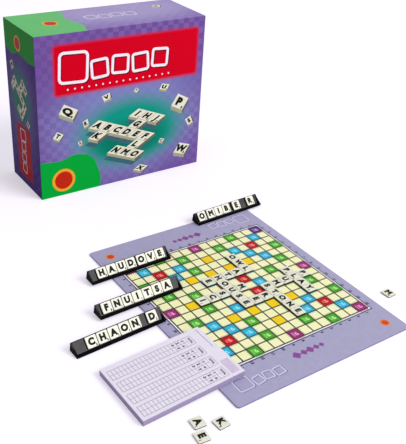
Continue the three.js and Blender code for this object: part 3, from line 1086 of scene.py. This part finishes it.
FRONT_X, FRONT_Z = (0, 1, lid_low.x), (2, 1, lid_low.z)
SIDE_Y, TOP_Y = (1, -1, lid_high.y), (1, 1, lid_low.y)
VIOLET = ("#71509A", "#8084BE", "#A8A2D0")
SHADED_SIDE_VIOLET = ("#321064", "#4A4072", "#5A5088")
LIT_TOP_VIOLET = ("#8870B8", "#A99CCE", "#B6ACD8")
COVERS = [
    ("front", FRONT_X, FRONT_Z, VIOLET, glow((118, 84), (150, 110)), [
        ("#109885", glow((122, 66), (94, 57), 0.5)),
        ("#047A62", glow((120, 56), (72, 34))),
        ("#D80220", panel((118, 156), (97, 30), 5.0, 3.4)),
        ("#06A93A", panel((30, 12), (44, 36), 14.0, 0.5, 30)),
    ]),
    # The side's ground and inks are darkened copies of the front's: painted shade
    ("side", SIDE_Y, FRONT_Z, SHADED_SIDE_VIOLET, glow((40, 100), (60, 90)), [
        ("#006650", glow((38, 114), (36, 46))),
        ("#930008", panel((40, 44), (20, 34), 3.0, 1.6)),
        ("#007518", panel((42, 190), (60, 24), 8.0, 0.5, 20)),
    ]),
    # The top's ground and green are paler copies of the front's: painted light
    ("top", FRONT_X, TOP_Y, LIT_TOP_VIOLET, glow((140, 60), (150, 70)), [
        ("#68C474", panel((20, 42), (46, 66), 12.0, 0.5, 26)),
    ]),
    ("right_side", TOP_Y, FRONT_Z, VIOLET, glow((40, 120), (60, 110)), []),
    ("foot", FRONT_X, TOP_Y, VIOLET, glow((112, 42), (150, 60)), []),
]
covers = [cover_print(f"laminated_cover_{name}", *rest) for name, *rest in COVERS]
# Film rubbed through along the folds: paler and greyer than the print
cover_edge = printed_paper("rubbed_cover_edge", "#8F7CB4", "#8471AA", 0.5)
# The tray's wrap is plain paper, white and dull
tray_paper = printed_paper("white_box_paper", "#F0EDF4", "#EAE7F0", 0.7)
print("covers:", ", ".join(name for name, *_ in COVERS))

# %% [markdown]
# A card box is a block with its folds rounded to half a millimetre. Its open side is inset until
# the rim is as wide as the card is thick, and pushed in almost to the other side, so the walls
# are closed all round. Lid and tray open towards each other.

# %% Lid and tray
CARD, FOLD = 1.5, 0.5
LID_WAYS = [(0, -1, 0), (-1, 0, 0), (0, 0, 1), (1, 0, 0), (0, 0, -1)]


def lid_face(normal):
    """The material of a face of the lid: its own cover, or 1, the rubbed edge, on a fold."""
    ahead = [i for i, way in enumerate(LID_WAYS) if normal.dot(Vector(way)) > 0.9]
    return 2 + ahead[0] if ahead else 1


def open_box(name, node, body, mouth, materials, choose):
    """A card box without one side: a block, its mouth face inset by the card and pushed in."""
    low, high = (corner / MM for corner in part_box(node))
    bm = bmesh.new()
    cuboid(bm, low, high)
    ease_edges(bm, bm.edges[:], FOLD)
    opening = max(bm.faces, key=lambda f: f.normal.dot(mouth))
    for face in bm.faces:
        face.material_index = choose(face.normal)
    for face in inset_each(bm, [opening], CARD - FOLD):
        face.material_index = 1
    walls = bmesh.ops.extrude_face_region(bm, geom=[opening])["geom"]
    moved = [g for g in walls if isinstance(g, bmesh.types.BMVert)]
    bmesh.ops.translate(bm, verts=moved, vec=-mouth * ((high - low).y - CARD))
    bmesh.ops.delete(bm, geom=[f for f in bm.faces if f is opening], context="FACES_ONLY")
    for face in bm.faces:
        middle = face.calc_center_median()
        if all(low[i] + CARD / 2 < middle[i] < high[i] - CARD / 2 for i in range(3)):
            face.material_index = 0
    bmesh.ops.recalc_face_normals(bm, faces=bm.faces)
    set_down(bm, Matrix.Identity(4))
    finish_piece(name, bm, materials, body, [node], smooth=40)


open_box(
    "box_lid_wrapped", "box_lid", "lid", Vector((0, 1, 0)),
    [lining_paper, cover_edge, *covers], lid_face,
)
open_box(
    "box_tray_wrapped", "box_tray", "set", Vector((0, -1, 0)),
    [lining_paper, tray_paper], lambda normal: 1,
)

# %% [markdown]
# ## Cover picture
# The cover shows what is in the box: letter tiles, some crossing as they do on the board and
# some tumbling. Each is drawn as a printer would, flat: a slanted square, two darker sides and a
# letter sheared with it. Crossing tiles throw a teal shade on the ground below. Where drawings
# overlap, each lies 0.02 mm above the one before, as if printed over it.

# %% Inks of the pictures
STEP_UP, PICTURE_ROUGH = 0.02, 0.4


def picture_ink(name, ink, shade):
    """Ink under the cover's matt film: full in colour, with hardly a highlight."""
    return printed_paper(f"{name}_print", ink, shade, PICTURE_ROUGH, specular=0.04)


picture_prints = [
    picture_ink(f"{name}_cover", ink, shade)
    for name, ink, shade in (
        ("ivory", "#F0EFDA", "#E8E6CD"), ("ivory_shade", "#ACAD8C", "#A0A180"),
        ("ivory_dark", "#6E7159", "#64674F"), ("black", "#14150F", "#1E1F17"),
        ("white", "#FFF8FE", "#F7EFF7"), ("orange", "#F7AC36", "#EFA12A"),
        ("vermilion", "#C92A14", "#BE2410"), ("pale_violet", "#DDDAF4", "#D3CFEE"),
        ("dark_red", "#7E0418", "#740315"), ("teal_shade", "#3F6A74", "#3A646E"),
    )
]
IVORY, IVORY_SHADE, IVORY_DARK, COVER_BLACK, COVER_WHITE = range(5)
COVER_ORANGE, COVER_VERMILION, COVER_PALE, COVER_DARK_RED, COVER_SHADE = range(5, 10)
# The left side's picture inks are darker copies of the front's: painted shade
SHADED_SIDE_INKS = [
    (IVORY, "ivory", "#B9B8A4", "#AFAE99"),
    (IVORY_SHADE, "ivory_shade", "#74755E", "#6B6C56"),
    (IVORY_DARK, "ivory_dark", "#43462F", "#3D402A"),
    (COVER_WHITE, "white", "#C4AFC0", "#BAA5B6"),
    (COVER_ORANGE, "orange", "#C08A34", "#B6812D"),
    (COVER_VERMILION, "vermilion", "#9A1E0C", "#901A09"),
]
shaded_side_prints = picture_prints[:]
for index, name, ink, shade in SHADED_SIDE_INKS:
    shaded_side_prints[index] = picture_ink(f"{name}_side", ink, shade)
print("picture inks:", len(picture_prints), "and", len(SHADED_SIDE_INKS), "darker ones")

# %% [markdown]
# A tile is drawn in parallel view: two of its sides are given as steps across and up the face,
# and a shear turns a unit square into it. The letter takes the same shear, so it lies on the
# tile. Letters are added last, when the flat patches have their thickness.

# %% Drawing on a face of the box
TOP_SHARE = 0.97
LETTER_AT, VALUE_AT = (-0.06, -0.26, STEP_UP, 0.6, 0.02), (0.34, -0.42, STEP_UP, 0.2, 0.02)


def slanted(bm, middle, along, up, index, height):
    """A flat four-sided patch with two given sides, and the matrix that made it."""
    shear = Matrix(
        ((along.x, up.x, 0, middle.x), (along.y, up.y, 0, middle.y), (0, 0, 1, height),
         (0, 0, 0, 1))
    )
    flat_square(bm, 1, shear).material_index = index
    return shear


def draw_tile(bm, letters, spot, along, up, thick, letter, height=0):
    """A tile in parallel view: spot is its middle, along and up are its sides, all in mm."""
    spot, along, up, drop = Vector(spot), Vector(along), Vector(up), Vector((0, -thick))
    slanted(bm, spot - (up - drop) / 2, along, drop, IVORY_SHADE, height)
    slanted(bm, spot + (along + drop) / 2, up, drop, IVORY_DARK, height)
    top = slanted(bm, spot, along * TOP_SHARE, up * TOP_SHARE, IVORY, height)
    letters.append((letter, top @ sized(*LETTER_AT)))
    letters.append((str(VALUES[letter]), top @ sized(*VALUE_AT)))


def draw_crossing(bm, letters, cells, middle, along, up, thick, shadow=None):
    """Tiles on cells of a slanted grid, lettered in turn, each drawn over those behind it."""
    spots = {cell: Vector(middle) + along * cell[0] + up * cell[1] for cell in cells}
    first = 0
    if shadow is not None:
        first = 1
        for spot in spots.values():
            slanted(bm, spot + shadow, along, up, COVER_SHADE, 0)
    for rank, cell in enumerate(sorted(cells, key=lambda cell: -spots[cell].y)):
        letter = chr(ord("A") + cells.index(cell))
        height = (rank + first) * STEP_UP
        draw_tile(bm, letters, spots[cell], along, up, thick, letter, height)


def draw_spot(bm, x, y, radii):
    """A round spot in two colours."""
    disc(bm, x, y, radii[0], COVER_ORANGE)
    disc(bm, x, y, radii[1], COVER_VERMILION, STEP_UP)


def finish_picture(name, bm, letters, corner, across, up, prints=picture_prints):
    """Closes a picture and lays it on a face, from its lower left corner, across and up."""
    close_sheet(bm, STEP_UP)
    for letter, place in letters:
        add_glyph(bm, letter, place, COVER_BLACK)
    across, up = Vector(across), Vector(up)
    axes = Matrix((across, up, across.cross(up))).transposed().to_4x4()
    finish_print(name, bm, prints, Matrix.Translation(corner) @ axes, "lid")


print("a letter covers", LETTER_AT[3], "of its tile's height")

# %% [markdown]
# The front shows crossing tiles in its middle and a dozen tumbling ones round them, large near
# the viewer and small further off. Empty tile outlines fill the red panel, over a row of beads.

# %% Front picture
CROSSING = [(-3, 0), (-2, 0), (-1, 0), (0, 0), (1, 0), (2, 0), (0, 1), (0, 2), (-1, 2), (1, 2),
            (-2, -1), (2, -1), (2, -2), (1, -2), (3, -2)]
CROSSING_SPOT, CROSSING_THICK, SHADOW_FALL = (116, 66), 3.4, Vector((-4, -8))
ALONG, UP = Vector((13.2, -5.4)), Vector((14.2, 8.0))
# Each tumbling tile is its middle, its two sides, its thickness and its letter
TUMBLING = [
    ((192, 92), (17, -9), (10, 15), 5.0, "P"), ((38, 106), (18, -10), (7, 11), 4.2, "Q"),
    ((60, 88), (7, 3), (-2, 8), 1.8, "R"), ((208, 64), (9, 4), (-5, 9), 2.2, "S"),
    ((24, 78), (8, -5), (6, 7), 2.2, "T"), ((168, 116), (11, -3), (4, 7), 2.4, "U"),
    ((88, 116), (11, 3), (-3, 7), 2.4, "V"), ((198, 26), (17, -6), (9, 13), 4.4, "W"),
    ((136, 12), (12, -5), (10, 6), 2.8, "X"), ((128, 118), (4, -3), (3, 4), 1.0, "Y"),
    ((52, 64), (5, 2), (-2, 5), 1.2, "Z"), ((166, 44), (6, -2), (3, 5), 1.4, "C"),
]
# Outlines on the red panel, as on the board: middle across, middle up, side and turn
PANEL_OUTLINES = [(46, 158, 38, -3), (79, 152.5, 24, 4), (106, 154, 24, -3), (133, 153, 24, 3),
                  (160, 155, 24, -4)]
OUTLINE_STROKE, OUTLINE_FALL = 3.4, 1.5
BEADS, BEAD_FIRST, BEAD_STEP, BEAD_UP, BEAD_RADIUS = 16, 38, 9, 133, 1.1
FRONT_SPOT = (29, 20, (15, 11.5))
bm, letters = bmesh.new(), []
draw_crossing(bm, letters, CROSSING, CROSSING_SPOT, ALONG, UP, CROSSING_THICK, SHADOW_FALL)
for spot, along, up, thick, letter in TUMBLING:
    draw_tile(bm, letters, spot, along, up, thick, letter)
for x, y, side, turn in PANEL_OUTLINES:
    fall = OUTLINE_FALL
    rounded_square(bm, x + fall, y - fall, side, COVER_DARK_RED, OUTLINE_STROKE, turn)
    rounded_square(bm, x, y, side, COVER_WHITE, OUTLINE_STROKE, turn, height=STEP_UP)
for i in range(BEADS):
    disc(bm, BEAD_FIRST + i * BEAD_STEP, BEAD_UP, BEAD_RADIUS, COVER_WHITE)
draw_spot(bm, *FRONT_SPOT)
finish_picture("box_picture_front", bm, letters, lid_low, (1, 0, 0), (0, 0, 1))

# %% [markdown]
# The left side and the top repeat the front's motifs, smaller. The side is read from below
# upwards, so its outlines stand in a column.

# %% Side and top pictures
SIDE_CROSSING = [(-2, 0), (-1, 0), (0, 0), (1, 0), (2, 0), (0, 1), (0, 2), (1, 2), (-2, -1),
                 (2, -1), (2, -2), (1, -2)]
SIDE_ALONG, SIDE_UP, SIDE_THICK = Vector((6.6, -6.2)), Vector((5.2, 7.2)), 2.0
SMALL_SPOT = (9, 6.8)
bm, letters = bmesh.new(), []
draw_crossing(bm, letters, SIDE_CROSSING, (36, 118), SIDE_ALONG, SIDE_UP, SIDE_THICK)
draw_tile(bm, letters, (18, 148), (8, 5), (-4, 8), 1.8, "M")
draw_tile(bm, letters, (56, 86), (7, -4), (4, 6), 1.8, "N")
for k in range(4):
    rounded_square(bm, 38, 66 - k * 14.5, 13 if k else 16, COVER_WHITE, 1.5, 6 - 4 * k)
draw_spot(bm, 38, 178, SMALL_SPOT)
back_low = (lid_low.x, lid_high.y, lid_low.z)
finish_picture("box_picture_side", bm, letters, back_low, (0, -1, 0), (0, 0, 1), shaded_side_prints)

bm, letters = bmesh.new(), []
for k in range(4):
    rounded_square(bm, 92 + k * 17, 46 - (k % 2) * 2, 15, COVER_PALE, 1.8, 4 - 3 * k)
draw_spot(bm, 38, 40, SMALL_SPOT)
draw_tile(bm, letters, (190, 60), (9, -3), (5, 8), 2.0, "A")
front_high = (lid_low.x, lid_low.y, lid_high.z)
finish_picture("box_picture_top", bm, letters, front_high, (1, 0, 0), (0, 1, 0))
